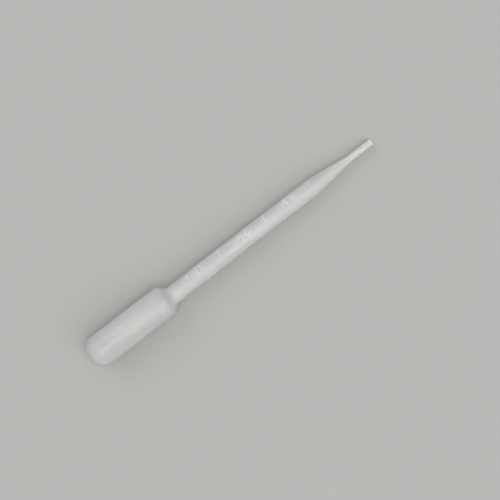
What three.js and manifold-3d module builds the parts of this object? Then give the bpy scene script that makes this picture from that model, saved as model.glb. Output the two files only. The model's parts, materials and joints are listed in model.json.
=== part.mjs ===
// A 3 ml dropper pipette, also called a transfer pipette: a squeeze bulb, a graduated stem and a
// drawn tip, blow moulded in one piece from soft, milky low-density polyethylene.
//
// The moulding is drawn as it is held in use. The tip's end face is at z = 0 and the bulb is at
// the top, so a height is also a distance from the tip. It is then laid on its side, as it comes
// to rest on a bench: on the foot of the bulb and on the top of the taper, with the tip clear.

import * as THREE from "three";
import { mergeVertices } from "three/addons/utils/BufferGeometryUtils.js";
import Module from "manifold-3d";

const manifold = await Module();
manifold.setup();

// Driving dimensions, in mm. Heights run from the tip's end face.
const LENGTH = 155;
const TIP_RADIUS = 1.65;
const STEM_RADIUS = 4.1;
const BULB_RADIUS = 7.4;
const TIP_LENGTH = 12;
const TAPER_LENGTH = 25.7;
const SHOULDER_LENGTH = 6;
const BULB_LENGTH = 39.8;
const DOME_LENGTH = 6;

// Walls. The parison is blown out least at the tip and furthest in the bulb, so the wall thins
// from the tip to the bulb.
const TIP_WALL = 0.6;
const STEM_WALL = 0.5;
const BULB_WALL = 0.4;

// How long the taper and the shoulder keep close to straight at each end, as a share of their
// length: the taper leaves the tip at a sharp bend and joins the stem in a long, soft one.
const TAPER_EASE_AT_TIP = 0.15;
const TAPER_EASE_AT_STEM = 0.45;
const SHOULDER_EASE = 0.42;

// Raised graduations: a short mark at every half millilitre and a long one at every whole one.
// Their spacing is the length of bore that holds half a millilitre.
const HALF_MILLILITRE = 500;
const FIRST_MARK = 33.8;
const MARK_STEP = HALF_MILLILITRE / (Math.PI * (STEM_RADIUS - STEM_WALL) ** 2);
const MARK_COUNT = 6;
const MARK_WIDTH = 0.7;
const MARK_RELIEF = 0.22;
const HALF_MARK_ARC = THREE.MathUtils.degToRad(45);
const WHOLE_MARK_ARC = THREE.MathUtils.degToRad(68);

// Angles about the axis, from the side that lies uppermost. The marks sit in the middle of one
// half of the mould, so its parting plane is a quarter turn from them.
const MARK_SIDE = THREE.MathUtils.degToRad(38);
const PARTING_SIDE = MARK_SIDE - Math.PI / 2;
const RIDGE_HEIGHT = 0.12;
const RIDGE_WIDTH = 0.3;

// The pinch-off: the fin of weld that the closing mould leaves across the bulb's end.
const PINCH_HEIGHT = 0.6;
const PINCH_WIDTH = 0.8;
const PINCH_HALF_ANGLE = THREE.MathUtils.degToRad(34);

// Facets. The count round the axis is a multiple of 4, so that one facet faces straight down.
const SEGMENTS = 24;
const CURVE_STEPS = 10;
const MERGE_DISTANCE = 1e-4;

// Heights that follow from these.
const STEM_FOOT = TIP_LENGTH + TAPER_LENGTH;
const BULB_FOOT = LENGTH - BULB_LENGTH;
const SHOULDER_FOOT = BULB_FOOT - SHOULDER_LENGTH;
const DOME_FOOT = LENGTH - DOME_LENGTH;

// ---- Outlines: one side of a section through the axis, from the tip up to the bulb's end ----

// A smooth change of radius that leaves and arrives parallel to the axis.
function blend(path, toRadius, toHeight, easeAtStart, easeAtEnd) {
  const from = path.currentPoint.clone();
  const length = toHeight - from.y;
  const leaveHeight = from.y + length * easeAtStart;
  const arriveHeight = toHeight - length * easeAtEnd;
  path.bezierCurveTo(from.x, leaveHeight, toRadius, arriveHeight, toRadius, toHeight);
}

function outline(tipRadius, stemRadius, bulbRadius, domeLength) {
  const path = new THREE.Path();
  path.moveTo(tipRadius, 0);
  path.lineTo(tipRadius, TIP_LENGTH);
  blend(path, stemRadius, STEM_FOOT, TAPER_EASE_AT_TIP, TAPER_EASE_AT_STEM);
  path.lineTo(stemRadius, SHOULDER_FOOT);
  blend(path, bulbRadius, BULB_FOOT, SHOULDER_EASE, SHOULDER_EASE);
  path.lineTo(bulbRadius, DOME_FOOT);
  path.absellipse(0, DOME_FOOT, bulbRadius, domeLength, 0, Math.PI / 2, false);
  const points = path.getPoints(CURVE_STEPS);
  points.at(-1).x = 0;
  return points;
}

function outside(proud = 0) {
  return outline(TIP_RADIUS + proud, STEM_RADIUS + proud, BULB_RADIUS + proud, DOME_LENGTH + proud);
}

function inside() {
  const stemRadius = STEM_RADIUS - STEM_WALL;
  const bulbRadius = BULB_RADIUS - BULB_WALL;
  return outline(TIP_RADIUS - TIP_WALL, stemRadius, bulbRadius, DOME_LENGTH - BULB_WALL);
}

function outerRadiusAt(height) {
  const points = outside();
  const above = points.findIndex((point) => point.y >= height);
  const [low, high] = [points[above - 1], points[above]];
  return THREE.MathUtils.mapLinear(height, low.y, high.y, low.x, high.x);
}

// ---- Solids ----

// Turns a closed three.js geometry into a solid. Triangles squeezed flat at the axis are left out.
function solidFrom(geometry) {
  geometry.deleteAttribute("normal");
  geometry.deleteAttribute("uv");
  const merged = mergeVertices(geometry, MERGE_DISTANCE);
  const index = merged.getIndex().array;
  const triangles = [];
  for (let i = 0; i < index.length; i += 3) {
    const [a, b, c] = index.slice(i, i + 3);
    if (a !== b && b !== c && c !== a) {
      triangles.push(a, b, c);
    }
  }
  return new manifold.Manifold(new manifold.Mesh({
    numProp: 3,
    vertProperties: Float32Array.from(merged.getAttribute("position").array),
    triVerts: Uint32Array.from(triangles),
  }));
}

// The hollow vessel, open only at the tip: the section runs down the inside and up the outside.
function vessel() {
  const section = [...inside().toReversed(), ...outside()];
  const firstAngle = Math.PI / SEGMENTS;
  const geometry = new THREE.LatheGeometry(section, SEGMENTS, firstAngle);
  geometry.rotateX(Math.PI / 2);
  return solidFrom(geometry);
}

// One graduation: a short arc of rib round the stem, rooted halfway into its wall.
function mark(height, arc) {
  const radius = outerRadiusAt(height);
  const shape = new THREE.Shape();
  shape.absarc(0, 0, radius + MARK_RELIEF, MARK_SIDE - arc / 2, MARK_SIDE + arc / 2, false);
  shape.absarc(0, 0, radius - STEM_WALL / 2, MARK_SIDE + arc / 2, MARK_SIDE - arc / 2, true);
  const rib = { depth: MARK_WIDTH, bevelEnabled: false, curveSegments: CURVE_STEPS };
  const geometry = new THREE.ExtrudeGeometry(shape, rib);
  geometry.translate(0, 0, height - MARK_WIDTH / 2);
  return solidFrom(geometry);
}

function marks() {
  return Array.from({ length: MARK_COUNT }, (_, i) => {
    const whole = i % 2 === 1;
    return mark(FIRST_MARK + i * MARK_STEP, whole ? WHOLE_MARK_ARC : HALF_MARK_ARC);
  });
}

// A plate of this outline and thickness, centred on the parting plane.
function inPartingPlane(shape, thickness) {
  const geometry = new THREE.ExtrudeGeometry(shape, {
    depth: thickness,
    bevelEnabled: false,
    curveSegments: CURVE_STEPS,
  });
  geometry.translate(0, 0, -thickness / 2);
  geometry.rotateX(Math.PI / 2);
  geometry.rotateZ(PARTING_SIDE);
  return solidFrom(geometry);
}

// The parting line: a low ridge up one side, over the bulb's end and down the other. It is rooted
// halfway into the thinnest wall.
function partingRidge() {
  const mirrored = (points) => points.map((point) => new THREE.Vector2(-point.x, point.y));
  const crest = outside(RIDGE_HEIGHT);
  const root = outside(-BULB_WALL / 2);
  const shape = new THREE.Shape([
    ...crest,
    ...mirrored(crest).toReversed().slice(1),
    ...mirrored(root),
    ...root.toReversed().slice(1),
  ]);
  return inPartingPlane(shape, RIDGE_WIDTH);
}

// A low fin that rises out of the dome's wall on each side and is highest on the axis.
function pinchOff() {
  const start = Math.PI / 2 - PINCH_HALF_ANGLE;
  const end = Math.PI / 2 + PINCH_HALF_ANGLE;
  const rootRadius = BULB_RADIUS - BULB_WALL / 2;
  const rootLength = DOME_LENGTH - BULB_WALL / 2;
  const rootX = rootRadius * Math.cos(start);
  const rootY = DOME_FOOT + rootLength * Math.sin(start);
  const controlY = 2 * (LENGTH + PINCH_HEIGHT) - rootY;
  const shape = new THREE.Shape();
  shape.moveTo(rootX, rootY);
  shape.quadraticCurveTo(0, controlY, -rootX, rootY);
  shape.absellipse(0, DOME_FOOT, rootRadius, rootLength, end, start, true);
  return inPartingPlane(shape, PINCH_WIDTH);
}

// ---- The finished part ----

function moulding() {
  const additions = [partingRidge(), pinchOff(), ...marks()];
  const solid = additions.reduce((body, addition) => body.add(addition), vessel());
  const { vertProperties, triVerts } = solid.getMesh();
  const geometry = new THREE.BufferGeometry();
  geometry.setAttribute("position", new THREE.BufferAttribute(vertProperties, 3));
  geometry.setIndex(new THREE.BufferAttribute(triVerts, 1));
  geometry.computeVertexNormals();
  return geometry;
}

// The axis's slope as it lies with a facet facing down: on the foot of the bulb and on the first
// point of the taper to meet the surface. A facet's middle is nearer the axis than its corners are.
function restTilt() {
  const facetShare = Math.cos(Math.PI / SEGMENTS);
  const lower = outside().filter((point) => point.y <= STEM_FOOT);
  const slopes = lower.map((point) => (BULB_RADIUS - point.x) / (BULB_FOOT - point.y));
  return Math.atan(facetShare * Math.min(...slopes));
}

// Lies the pipette along X, tip towards +X, with the origin under the middle of its box.
function layDown(mesh) {
  mesh.rotation.y = restTilt() - Math.PI / 2;
  const box = new THREE.Box3().setFromObject(mesh, true);
  const centre = box.getCenter(new THREE.Vector3());
  mesh.position.set(-centre.x, -centre.y, -box.min.z);
}

const milkyPolyethylene = new THREE.MeshStandardMaterial({
  color: 0xe6e8e8,
  roughness: 0.4,
  metalness: 0,
  transparent: true,
  opacity: 0.8,
});

const pipette = new THREE.Mesh(moulding(), milkyPolyethylene);
pipette.name = "pipette";
layDown(pipette);

const part = new THREE.Group();
part.add(pipette);

export default part;
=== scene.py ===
"""A 3 ml dropper pipette of soft, milky low-density polyethylene, lying on a pale table.

The moulding is one closed, thin-walled mesh: an outer skin that carries the volume marks, numbers,
units, parting line and pinch-off fin in its own surface, and an inner skin that follows the bore.
It is drawn upright in millimetres, its tip's end face at height 0, and then laid where the frame
has it.
"""

import json
import math

import bpy
import numpy as np
from mathutils import Matrix, Vector


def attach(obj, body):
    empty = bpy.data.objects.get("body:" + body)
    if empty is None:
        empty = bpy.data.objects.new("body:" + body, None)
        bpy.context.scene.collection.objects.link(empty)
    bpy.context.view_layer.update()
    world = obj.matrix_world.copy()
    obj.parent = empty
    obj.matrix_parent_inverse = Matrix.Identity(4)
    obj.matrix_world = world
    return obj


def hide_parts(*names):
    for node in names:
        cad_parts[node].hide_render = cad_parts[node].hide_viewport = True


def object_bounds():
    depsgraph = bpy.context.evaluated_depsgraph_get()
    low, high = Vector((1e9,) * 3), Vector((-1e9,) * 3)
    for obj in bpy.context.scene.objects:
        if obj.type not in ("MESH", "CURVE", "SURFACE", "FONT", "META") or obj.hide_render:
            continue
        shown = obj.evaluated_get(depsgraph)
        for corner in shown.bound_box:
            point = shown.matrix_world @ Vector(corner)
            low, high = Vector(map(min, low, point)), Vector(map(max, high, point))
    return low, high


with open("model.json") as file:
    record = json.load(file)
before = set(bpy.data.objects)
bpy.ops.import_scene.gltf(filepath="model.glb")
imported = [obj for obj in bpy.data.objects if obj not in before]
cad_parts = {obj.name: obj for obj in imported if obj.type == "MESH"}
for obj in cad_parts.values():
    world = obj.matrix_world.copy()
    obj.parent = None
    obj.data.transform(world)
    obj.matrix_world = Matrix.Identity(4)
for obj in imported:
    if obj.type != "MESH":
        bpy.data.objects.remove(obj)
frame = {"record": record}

cad_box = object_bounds()

# The moulding's dimensions, in mm. Heights run from the tip's end face.
LENGTH = 155.0
TIP_RADIUS = 1.65
STEM_RADIUS = 4.1
BULB_RADIUS = 7.4
TIP_LENGTH = 12.0
TAPER_LENGTH = 25.7
SHOULDER_LENGTH = 6.0
BULB_LENGTH = 39.8
DOME_LENGTH = 6.0
TIP_WALL = 0.6
STEM_WALL = 0.5
BULB_WALL = 0.4
TIP_ROUNDING = 0.12

# How long the taper and the shoulder keep close to straight at their lower and upper end, as a
# share of their length.
TAPER_EASES = (0.15, 0.45)
SHOULDER_EASES = (0.42, 0.42)

STEM_FOOT = TIP_LENGTH + TAPER_LENGTH
BULB_FOOT = LENGTH - BULB_LENGTH
SHOULDER_FOOT = BULB_FOOT - SHOULDER_LENGTH
DOME_FOOT = LENGTH - DOME_LENGTH

# Each skin's radius at the tip, the stem and the bulb, and its dome's length.
OUTER_SKIN = (TIP_RADIUS, STEM_RADIUS, BULB_RADIUS, DOME_LENGTH)
INNER_SKIN = (
    TIP_RADIUS - TIP_WALL,
    STEM_RADIUS - STEM_WALL,
    BULB_RADIUS - BULB_WALL,
    DOME_LENGTH - BULB_WALL,
)

# Volume marks, one at each half millilitre. Every second one is whole: it has its number on its
# tip side and the unit on its bulb side. Offsets run from a mark's middle to theirs.
HALF_MILLILITRE = 500.0
FIRST_MARK = 33.8
MARK_STEP = HALF_MILLILITRE / (math.pi * (STEM_RADIUS - STEM_WALL) ** 2)
MARK_COUNT = 6
MARK_WIDTH = 0.7
MARK_RELIEF = 0.22
HALF_MARK_ARC = math.radians(45)
WHOLE_MARK_ARC = math.radians(68)
LETTER_RELIEF = 0.2
NUMERAL_HEIGHT = 4.4
NUMERAL_STROKE = 0.66
NUMERAL_OFFSET = 3.0
UNIT_STROKE = 0.5
UNIT_OFFSET = 3.15
EDGE_SOFTNESS = 0.2
ARC_POINTS = 16

# Angles about the axis run from the uppermost side towards +Y.
MARK_SIDE = math.radians(38)
PARTING_SIDE = MARK_SIDE - math.pi / 2
RIDGE_HEIGHT = 0.12
RIDGE_WIDTH = 0.3
PINCH_HEIGHT = 0.6
PINCH_WIDTH = 0.8
PINCH_REACH = 3.9
WAVINESS = 0.02

MM = 0.001


# ---- The section: one side of it, from the tip up ----


def eased(start, end, eases):
    """Radii and heights of a smooth change of radius, parallel to the axis at both ends."""
    (r0, z0), (r1, z1) = start, end
    leave = z0 + (z1 - z0) * eases[0]
    arrive = z1 - (z1 - z0) * eases[1]
    steps = 160
    t = np.linspace(0, 1, steps)
    weights = ((1 - t) ** 3, 3 * t * (1 - t) ** 2, 3 * t**2 * (1 - t), t**3)
    radii = sum(w * r for w, r in zip(weights, (r0, r0, r1, r1)))
    heights = sum(w * z for w, z in zip(weights, (z0, leave, arrive, z1)))
    return radii, heights


def radius_below_dome(heights, tip, stem, bulb):
    """The radius at each height, for a skin with these radii at the tip, the stem and the bulb."""
    taper = eased((tip, TIP_LENGTH), (stem, STEM_FOOT), TAPER_EASES)
    shoulder = eased((stem, SHOULDER_FOOT), (bulb, BULB_FOOT), SHOULDER_EASES)
    known_heights = np.concatenate([[0], taper[1], shoulder[1], [LENGTH]])
    known_radii = np.concatenate([[tip], taper[0], shoulder[0], [bulb]])
    return np.interp(heights, known_heights, known_radii)


def section(heights, shares, skin):
    """Radii, heights and outward normals of a skin's rows. The last row is just short of the axis.

    Rows below the dome are given by their heights, and the dome's by their share of its radius."""
    tip, stem, bulb, dome = skin
    radii = radius_below_dome(heights, tip, stem, bulb)
    slopes = np.gradient(radii, heights)
    straight = np.stack([np.ones_like(slopes), -slopes], axis=1)
    angles = np.arccos(shares)
    curved = np.stack([np.cos(angles) / bulb, np.sin(angles) / dome], axis=1)
    radii = np.concatenate([radii, bulb * np.cos(angles)])
    heights = np.concatenate([heights, DOME_FOOT + dome * np.sin(angles)])
    normals = np.concatenate([straight, curved])
    normals /= np.linalg.norm(normals, axis=1, keepdims=True)
    return radii, heights, normals


# ---- Rows and columns of the mesh ----


def stepped(*stretches):
    """Values that run through (start, end, step) stretches, close together where detail is fine."""
    runs = [np.linspace(a, b, max(2, 1 + round(abs(b - a) / step))) for a, b, step in stretches]
    return np.unique(np.round(np.concatenate(runs), 5))


def dome_shares(coarse, fine):
    """Rows of a dome as shares of its radius: this many to the fin, and then under it."""
    fin_edge = (PINCH_REACH + EDGE_SOFTNESS) / BULB_RADIUS
    outer = np.cos(np.linspace(0, math.acos(fin_edge), coarse + 1)[1:])
    inner = np.linspace(fin_edge, 0, fine + 1)[1:-1]
    return np.concatenate([outer, inner])


def is_whole(mark):
    return mark % 2 == 1


def mark_heights():
    return [FIRST_MARK + i * MARK_STEP for i in range(MARK_COUNT)]


def outer_heights():
    """Row heights of the outer skin: coarse along plain walls, fine across marks and letters."""
    rows = stepped(
        (TIP_ROUNDING, TIP_LENGTH, 1.2),
        (TIP_LENGTH, STEM_FOOT, 0.9),
        (STEM_FOOT, SHOULDER_FOOT, 1.6),
        (SHOULDER_FOOT, BULB_FOOT, 0.25),
        (BULB_FOOT, DOME_FOOT, 1.6),
    )
    fine_step = 0.1
    gap = 0.3
    mark_reach = 0.6
    numeral_reach = NUMERAL_OFFSET + 1.7
    unit_reach = UNIT_OFFSET + 2.3
    for i, height in enumerate(mark_heights()):
        low = height - (numeral_reach if is_whole(i) else mark_reach)
        high = height + (unit_reach if is_whole(i) else mark_reach)
        elsewhere = (rows < low - gap) | (rows > high + gap)
        rows = np.concatenate([rows[elsewhere], stepped((low, high, fine_step))])
    return np.sort(rows)


def inner_heights():
    return stepped(
        (TIP_ROUNDING, TIP_LENGTH, 1.5),
        (TIP_LENGTH, STEM_FOOT, 1.0),
        (STEM_FOOT, SHOULDER_FOOT, 3.0),
        (SHOULDER_FOOT, BULB_FOOT, 0.4),
        (BULB_FOOT, DOME_FOOT, 3.0),
    )


def column_angles():
    """Angles of the mesh's columns, fine under the letters and on both sides' parting lines."""
    letters_end = math.degrees(WHOLE_MARK_ARC / 2) + 4
    near = 8
    close = 2
    stretches = [
        (-letters_end, letters_end, 1.25),
        (letters_end, 90 - near, 4.0),
        (90 + near, 270 - near, 5.0),
        (270 + near, 360 - letters_end, 4.0),
    ]
    for parting in (90, 270):
        stretches += [
            (parting - near, parting - close, 1.5),
            (parting - close, parting + close, 0.5),
            (parting + close, parting + near, 1.5),
        ]
    first_to_last = stepped(*stretches)[:-1]
    return MARK_SIDE + np.radians(first_to_last)


# ---- What stands proud of the outer skin ----


def raised(distance, half_width):
    """1 within half_width of a line and 0 beyond it, with a soft edge."""
    t = np.clip((half_width + EDGE_SOFTNESS / 2 - distance) / EDGE_SOFTNESS, 0, 1)
    return t * t * (3 - 2 * t)


def turned_from(angles, side):
    """Each angle's difference from side, between -pi and pi."""
    return (angles - side + math.pi) % (2 * math.pi) - math.pi


def arc(centre, radii, start, end):
    """Points of an ellipse's arc between two angles in degrees."""
    angles = np.radians(np.linspace(start, end, ARC_POINTS))
    x = centre[0] + radii[0] * np.cos(angles)
    y = centre[1] + radii[1] * np.sin(angles)
    return list(zip(x, y))


# The line that draws each numeral, in a box that runs from -1 to 1 in height.
NUMERALS = {
    1: [(-0.38, 0.6), (0.05, 1.0), (0.05, -1.0)],
    2: arc((0, 0.45), (0.6, 0.55), 165, -38) + [(-0.62, -1.0), (0.64, -1.0)],
    3: arc((0, 0.5), (0.55, 0.5), 150, -90) + arc((0, -0.5), (0.62, 0.5), 90, -150),
}

# The lines that draw the unit, ml, in mm from the middle of the m's height and the pair's length.
UNIT_LINES = (
    [(-1.9, -0.95), (-1.9, 0.95)],
    arc((-1.35, 0.35), (0.55, 0.6), 180, 0) + [(-0.8, -0.95)],
    arc((-0.25, 0.35), (0.55, 0.6), 180, 0) + [(0.3, -0.95)],
    [(1.6, -0.95), (1.6, 2.0)],
)


def distance_to_line(x, y, points):
    """The distance from each point of a grid to a line through these points."""
    nearest = np.full(x.shape, np.inf)
    tiny = 1e-12
    for (x0, y0), (x1, y1) in zip(points, points[1:]):
        dx, dy = x1 - x0, y1 - y0
        squared_length = max(dx * dx + dy * dy, tiny)
        along = np.clip(((x - x0) * dx + (y - y0) * dy) / squared_length, 0, 1)
        nearest = np.minimum(nearest, np.hypot(x - x0 - along * dx, y - y0 - along * dy))
    return nearest


def lettering(along, around, number):
    """1 on the number and the unit beside a whole mark and 0 elsewhere.

    They read from the tip towards the bulb. along is measured from the mark's middle."""
    scale = (NUMERAL_HEIGHT - NUMERAL_STROKE) / 2
    numeral = [(x * scale, y * scale) for x, y in NUMERALS[number]]
    distance = distance_to_line(along + NUMERAL_OFFSET, -around, numeral)
    covered = raised(distance, NUMERAL_STROKE / 2)
    for line in UNIT_LINES:
        distance = distance_to_line(along - UNIT_OFFSET, -around, line)
        covered = np.maximum(covered, raised(distance, UNIT_STROKE / 2))
    return covered


def volume_marks(radii, heights, angles):
    """Height of the marks, numbers and units over the skin, at every row and column."""
    around = radii[:, None] * turned_from(angles, MARK_SIDE)[None, :]
    along = np.broadcast_to(heights[:, None], around.shape)
    relief = np.zeros(around.shape)
    for i, height in enumerate(mark_heights()):
        half_length = STEM_RADIUS * (WHOLE_MARK_ARC if is_whole(i) else HALF_MARK_ARC) / 2
        mark = [(height, -half_length), (height, half_length)]
        distance = distance_to_line(along, around, mark)
        relief = np.maximum(relief, MARK_RELIEF * raised(distance, MARK_WIDTH / 2))
        if is_whole(i):
            letters = lettering(along - height, around, (i + 1) // 2)
            relief = np.maximum(relief, LETTER_RELIEF * letters)
    return relief


def mould_lines(radii, heights, angles):
    """Height of the parting line and of the pinch-off fin, which share one plane."""
    turn = angles - PARTING_SIDE
    off_plane = np.abs(radii[:, None] * np.sin(turn)[None, :])
    in_plane = np.abs(radii[:, None] * np.cos(turn)[None, :])
    cut_flush = np.clip((heights - TIP_ROUNDING) / TIP_RADIUS, 0, 1)[:, None]
    ridge = RIDGE_HEIGHT * cut_flush * raised(off_plane, RIDGE_WIDTH / 2)
    crest = np.clip(1 - (in_plane / PINCH_REACH) ** 2, 0, 1)
    on_dome = (heights > DOME_FOOT)[:, None]
    fin = PINCH_HEIGHT * crest * raised(off_plane, PINCH_WIDTH / 2) * on_dome
    return np.maximum(ridge, fin)


def unevenness(heights, angles):
    """The slight, slow waviness of a blown wall, in mm."""
    z, a = heights[:, None], angles[None, :]
    waves = np.sin(0.11 * z + 0.7) * np.cos(2 * a + 0.4)
    waves += 0.6 * np.sin(0.31 * z + 1.9) * np.cos(3 * a - 1.1)
    waves += 0.4 * np.sin(0.67 * z + 2.6) * np.cos(a + 2.0)
    return WAVINESS * waves


# ---- The mesh ----


def on_rings(radii, heights, angles):
    """Points at these radii and heights, one row of them for each ring."""
    x = radii * np.cos(angles)
    y = radii * np.sin(angles)
    return np.stack([x, y, np.broadcast_to(heights, x.shape)], axis=2)


def skin_points(radii, heights, normals, angles, proud):
    """Points of a skin, moved out along its normals by proud."""
    r = radii[:, None] + normals[:, :1] * proud
    z = heights[:, None] + normals[:, 1:] * proud
    return on_rings(r, z, angles)


def rim(radius, side, angles):
    """Rows that round the edge between the tip's end face and a wall of this radius.

    side is 1 for the outer edge and -1 for the inner one."""
    bend = np.radians([0, 22.5, 45, 67.5])[:, None]
    radii = radius - side * TIP_ROUNDING * (1 - np.sin(bend))
    heights = TIP_ROUNDING * (1 - np.cos(bend))
    return on_rings(radii, heights, angles)


def outer_skin(angles):
    """Points from the rim of the tip's end face to the bulb's end, and how far each is a mark."""
    shares = dome_shares(coarse=14, fine=40)
    radii, heights, normals = section(outer_heights(), shares, OUTER_SKIN)
    marks = volume_marks(radii, heights, angles)
    proud = marks + mould_lines(radii, heights, angles) + unevenness(heights, angles)
    edge = rim(TIP_RADIUS, 1, angles)
    points = np.concatenate([edge, skin_points(radii, heights, normals, angles, proud)])
    return points, np.concatenate([np.zeros(edge.shape[:2]), marks / MARK_RELIEF])


def inner_skin(angles):
    """Points from the rim of the tip's bore to the bulb's end."""
    shares = dome_shares(coarse=8, fine=6)
    radii, heights, normals = section(inner_heights(), shares, INNER_SKIN)
    walls = skin_points(radii, heights, normals, angles, unevenness(heights, angles))
    return np.concatenate([rim(TIP_RADIUS - TIP_WALL, -1, angles), walls])


def grid_faces(first, rows, columns):
    """Quads between rows of a closed tube whose first point has index first."""
    row, column = np.meshgrid(np.arange(rows - 1), np.arange(columns), indexing="ij")
    beside = (column + 1) % columns
    a = first + row * columns + column
    b = first + row * columns + beside
    return np.stack([a, b, b + columns, a + columns], axis=2).reshape(-1, 4)


def fan_faces(first, columns, apex):
    """Triangles from the ring whose first point has index first to the point apex."""
    ring = first + np.arange(columns)
    return np.stack([ring, np.roll(ring, -1), np.full(columns, apex)], axis=1)


def end_faces(inner_first, columns):
    """Quads of the tip's end face, from the outer skin's first ring to the inner skin's."""
    ring = np.arange(columns)
    beside = np.roll(ring, -1)
    return np.stack([beside, ring, inner_first + ring, inner_first + beside], axis=1)


def wall_faces(outer_rows, inner_rows, columns):
    """Faces of both skins and of the tip's end face. Each skin's apex comes after all its rings."""
    inner_first = outer_rows * columns
    outer_apex = inner_first + inner_rows * columns
    inner_apex = outer_apex + 1
    kinds = (
        grid_faces(0, outer_rows, columns),
        fan_faces(inner_first - columns, columns, outer_apex),
        grid_faces(inner_first, inner_rows, columns)[:, ::-1],
        fan_faces(outer_apex - columns, columns, inner_apex)[:, ::-1],
        end_faces(inner_first, columns),
    )
    return [face for faces in kinds for face in faces.tolist()]


def moulding_mesh():
    """The whole wall as one closed mesh, in mm, and a number for each point: 1 on a raised mark."""
    angles = column_angles()
    outside, marks = outer_skin(angles)
    inside = inner_skin(angles)
    apexes = [(0, 0, LENGTH + PINCH_HEIGHT), (0, 0, LENGTH - BULB_WALL)]
    points = np.concatenate([outside.reshape(-1, 3), inside.reshape(-1, 3), apexes])
    unmarked = np.zeros(len(points) - marks.size)
    faces = wall_faces(len(outside), len(inside), len(angles))
    return points, faces, np.concatenate([marks.ravel(), unmarked])


def laid_down():
    """The matrix that lays the upright moulding, in mm, where the frame's tip is, in metres."""
    tip = frame["record"]["mounts"][0]
    towards_bulb = -Vector(tip["axis"])
    across = Vector((0, 1, 0))
    upward = across.cross(towards_bulb)
    ring_middle = (TIP_RADIUS - TIP_WALL / 2) * MM
    tip_centre = Vector(tip["pos_m"]) - ring_middle * upward
    turn = Matrix((upward, across, towards_bulb)).transposed().to_4x4()
    return Matrix.Translation(tip_centre) @ turn @ Matrix.Scale(MM, 4)


def make_pipette():
    points, faces, marks = moulding_mesh()
    mesh = bpy.data.meshes.new("moulding")
    mesh.from_pydata(points.tolist(), [], faces)
    mesh.transform(laid_down())
    mesh.attributes.new("mark", "FLOAT", "POINT").data.foreach_set("value", marks)
    mesh.shade_smooth()
    mesh.update()
    piece = bpy.data.objects.new("moulding", mesh)
    bpy.context.scene.collection.objects.link(piece)
    return piece


# ---- Material nodes ----


def new_material(name):
    material = bpy.data.materials.new(name)
    material.use_nodes = True
    return material


def add(tree, kind, **properties):
    node = tree.nodes.new(kind)
    for name, value in properties.items():
        setattr(node, name, value)
    return node


def noise(tree, place, scale, detail):
    node = add(tree, "ShaderNodeTexNoise")
    node.inputs["Scale"].default_value = scale
    node.inputs["Detail"].default_value = detail
    tree.links.new(place, node.inputs["Vector"])
    return node.outputs["Fac"]


def ranged(tree, value, source, target):
    """A value mapped smoothly from source's two ends to target's, and held beyond them."""
    node = add(tree, "ShaderNodeMapRange", interpolation_type="SMOOTHSTEP")
    for name, number in zip(("From Min", "From Max", "To Min", "To Max"), source + target):
        node.inputs[name].default_value = number
    tree.links.new(value, node.inputs["Value"])
    return node.outputs["Result"]


def mixed(tree, factor, first, second):
    """A mix of two colours, each a tuple or a socket."""
    node = add(tree, "ShaderNodeMix", data_type="RGBA")
    tree.links.new(factor, node.inputs["Factor"])
    for name, colour in (("A", first), ("B", second)):
        socket = next(s for s in node.inputs if s.name == name and s.type == "RGBA")
        if isinstance(colour, tuple):
            socket.default_value = (*colour, 1)
        else:
            tree.links.new(colour, socket)
    return next(s for s in node.outputs if s.type == "RGBA")


def math_node(tree, operation, *values):
    """The result of an operation on values, each a number or a socket."""
    node = add(tree, "ShaderNodeMath", operation=operation)
    for socket, value in zip(node.inputs, values):
        if isinstance(value, (int, float)):
            socket.default_value = value
        else:
            tree.links.new(value, socket)
    return node.outputs[0]


def stretched(tree, place, along):
    """A place whose distance along the pipette is scaled down, so that its noise runs lengthwise."""
    node = add(tree, "ShaderNodeMapping")
    node.inputs["Scale"].default_value = (along, 1, 1)
    tree.links.new(place, node.inputs["Vector"])
    return node.outputs["Vector"]


# ---- Materials ----

# Colours in linear light.
CLEARER_PLASTIC = (0.922, 0.922, 0.918)
CLOUDIER_PLASTIC = (0.962, 0.956, 0.935)
THICKER_PLASTIC = (0.99, 0.985, 0.965)
FLOOR_COLOUR = (0.46, 0.46, 0.455)
BACKDROP_COLOUR = (0.54, 0.545, 0.55)

# The share of light that passes straight through, in clearer and in cloudier plastic.
CLEAR_SHARES = (0.5, 0.38)

# How far a raised mark looks like thick plastic, and the share of light that thick plastic stops.
MARK_THICKNESS = 0.72
STOPPED_SHARE = 0.35


def colour_plastic(tree, shader, milk, thick):
    """Tints the plastic by its milkiness. Less light gets through where it is milky or thick."""
    noise_range = (0.35, 0.65)
    body = mixed(tree, ranged(tree, milk, noise_range, (0, 1)), CLEARER_PLASTIC, CLOUDIER_PLASTIC)
    tree.links.new(mixed(tree, thick, body, THICKER_PLASTIC), shader.inputs["Base Color"])
    clear = ranged(tree, milk, noise_range, CLEAR_SHARES)
    stopped = math_node(tree, "MULTIPLY", thick, STOPPED_SHARE)
    passed = math_node(tree, "SUBTRACT", clear, stopped)
    tree.links.new(passed, shader.inputs["Transmission Weight"])


def grain_plastic(tree, shader, grain, relief):
    """Gives the plastic its satin finish, and the low bump of its clouds, grain and draw lines."""
    tree.links.new(ranged(tree, grain, (0.3, 0.7), (0.3, 0.4)), shader.inputs["Roughness"])
    bump = add(tree, "ShaderNodeBump")
    bump.inputs["Strength"].default_value = 0.15
    bump.inputs["Distance"].default_value = 0.12 * MM
    tree.links.new(relief, bump.inputs["Height"])
    tree.links.new(bump.outputs["Normal"], shader.inputs["Normal"])


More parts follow.
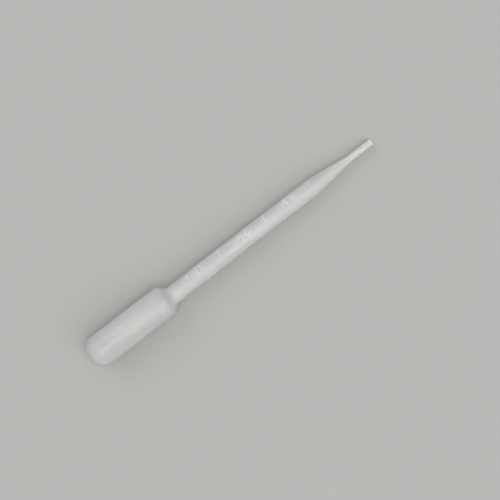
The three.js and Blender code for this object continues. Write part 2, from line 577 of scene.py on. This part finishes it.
def milky_polyethylene():
    """Soft, cloudy, see-through plastic, whiter on the raised marks, where it is thicker."""
    material = new_material("milky_polyethylene")
    tree = material.node_tree
    shader = tree.nodes["Principled BSDF"]
    shader.inputs["IOR"].default_value = 1.51
    shader.inputs["Subsurface Weight"].default_value = 1.0
    shader.inputs["Subsurface Radius"].default_value = (1.0, 1.0, 1.0)
    shader.inputs["Subsurface Scale"].default_value = 1.2 * MM

    place = add(tree, "ShaderNodeTexCoord").outputs["Object"]
    cloud = noise(tree, stretched(tree, place, along=0.2), scale=260, detail=4)
    draw_lines = noise(tree, stretched(tree, place, along=0.012), scale=1600, detail=2)
    grain = noise(tree, place, scale=1500, detail=2)

    mostly_cloud = math_node(tree, "MULTIPLY", cloud, 0.7)
    some_lines = math_node(tree, "MULTIPLY", draw_lines, 0.3)
    milk = math_node(tree, "ADD", mostly_cloud, some_lines)
    on_mark = add(tree, "ShaderNodeAttribute", attribute_name="mark").outputs["Fac"]
    thick = math_node(tree, "MULTIPLY", on_mark, MARK_THICKNESS)
    colour_plastic(tree, shader, milk, thick)

    relief = math_node(tree, "ADD", math_node(tree, "ADD", cloud, grain), draw_lines)
    grain_plastic(tree, shader, grain, relief)
    return material


def floor_material():
    material = new_material("floor")
    shader = material.node_tree.nodes["Principled BSDF"]
    shader.inputs["Base Color"].default_value = (*FLOOR_COLOUR, 1)
    shader.inputs["Roughness"].default_value = 0.9
    shader.inputs["Specular IOR Level"].default_value = 0.1
    return material


# ---- Stage, light and camera ----


def make_floor(height):
    reach = 20.0
    corners = [(x * reach, y * reach, height) for x, y in ((-1, -1), (1, -1), (1, 1), (-1, 1))]
    mesh = bpy.data.meshes.new("floor")
    mesh.from_pydata(corners, [], [(0, 1, 2, 3)])
    mesh.materials.append(floor_material())
    floor = bpy.data.objects.new("floor", mesh)
    bpy.context.scene.collection.objects.link(floor)


def soft_light(name, towards, spread, strength, colour):
    """Even light from a wide, distant source in the direction towards, spread degrees across."""
    light = bpy.data.lights.new(name, "SUN")
    light.angle = math.radians(spread)
    light.energy = strength
    light.color = colour
    lamp = bpy.data.objects.new(name, light)
    lamp.rotation_mode = "QUATERNION"
    lamp.rotation_quaternion = Vector(towards).to_track_quat("Z", "Y")
    bpy.context.scene.collection.objects.link(lamp)


def make_lights():
    """A warm, broad light overhead and a weaker, cooler one on each side."""
    warm = (1.0, 0.95, 0.86)
    cool = (0.9, 0.95, 1.0)
    soft_light("key", towards=(0, -0.16, 1), spread=40, strength=1.05, colour=warm)
    soft_light("left", towards=(-0.3, 0.8, 0.7), spread=40, strength=0.5, colour=cool)
    soft_light("right", towards=(0.3, -0.8, 0.7), spread=40, strength=0.5, colour=cool)


def make_backdrop():
    world = bpy.data.worlds.new("studio")
    world.use_nodes = True
    background = world.node_tree.nodes["Background"]
    background.inputs["Color"].default_value = (*BACKDROP_COLOUR, 1)
    background.inputs["Strength"].default_value = 1.0
    bpy.context.scene.world = world


def make_camera():
    """Looks straight down, turned so that the pipette rises from lower left to upper right."""
    data = bpy.data.cameras.new("camera")
    data.lens = 90
    camera = bpy.data.objects.new("camera", data)
    bpy.context.scene.collection.objects.link(camera)
    rise = math.radians(37.7)
    view_width = 0.2172
    right_of_middle = 0.0082
    low, high = cad_box
    middle = (low + high) / 2
    image_right = Vector((math.cos(rise), -math.sin(rise), 0))
    image_up = Vector((math.sin(rise), math.cos(rise), 0))
    distance = view_width / 2 * data.lens / (data.sensor_width / 2)
    camera.location = middle + right_of_middle * image_right + Vector((0, 0, distance))
    turn = Matrix((image_right, image_up, Vector((0, 0, 1)))).transposed()
    camera.rotation_mode = "QUATERNION"
    camera.rotation_quaternion = turn.to_quaternion()
    bpy.context.scene.camera = camera


pipette = make_pipette()
pipette.data.materials.append(milky_polyethylene())
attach(pipette, "root")
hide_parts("pipette")

visual_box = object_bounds()
make_floor(visual_box[0].z)
make_lights()
make_backdrop()
make_camera()
bpy.context.scene.view_settings.view_transform = "Standard"
